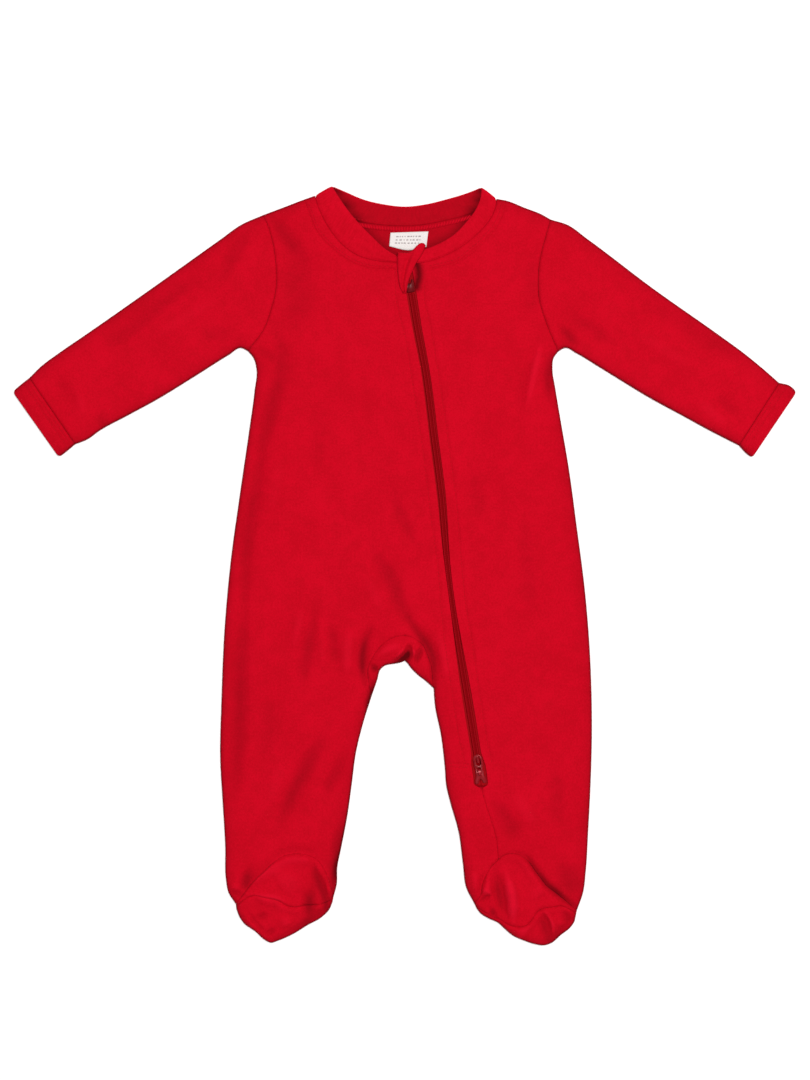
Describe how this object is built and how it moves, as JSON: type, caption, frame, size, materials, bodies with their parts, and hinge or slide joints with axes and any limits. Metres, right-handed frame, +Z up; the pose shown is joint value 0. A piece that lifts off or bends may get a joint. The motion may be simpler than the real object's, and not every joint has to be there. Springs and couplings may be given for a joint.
{
  "type": "footed sleepsuit",
  "caption": "Baby's long-sleeved footed sleepsuit with a slanting two-way front zip, laid flat with its front up.",
  "frame": {"origin": "bottom centre of the bounding box, on the surface that the garment lies on", "axes": "+Y towards the neck, +X towards the wearer's left, +Z up out of the front"},
  "size_m": [0.6267, 0.6067, 0.0081],
  "materials": {
    "cloth": "red cotton interlock knit, matt",
    "zip_tape": "dark red woven tape",
    "zip_coil": "dyed nylon coil",
    "enamelled_metal": "red enamel, satin",
    "label": "off-white woven ribbon"
  },
  "bodies": {
    "suit": {"front_right": "cloth", "front_left": "cloth", "back": "cloth", "sleeve_right": "cloth", "sleeve_left": "cloth", "cuff_right": "cloth", "cuff_left": "cloth", "gusset": "cloth", "foot_upper_right": "cloth", "foot_upper_left": "cloth", "sole_right": "cloth", "sole_left": "cloth", "neckband": "cloth", "zip_garage": "cloth", "zip_tape_right": "zip_tape", "zip_tape_left": "zip_tape", "zip_chain": "zip_coil", "slider_top": "enamelled_metal", "slider_bottom": "enamelled_metal", "label": "label"},
    "pull_tab": {"pull_tab": "enamelled_metal"}
  },
  "joints": [
    {"name": "pull_tab_hinge", "type": "hinge", "parent": "suit", "child": "pull_tab", "pos_m": [0.06005, -0.1648, 0.0059], "axis": [0.9892, 0.1464, 0], "range_deg": [0, 170]}
  ]
}
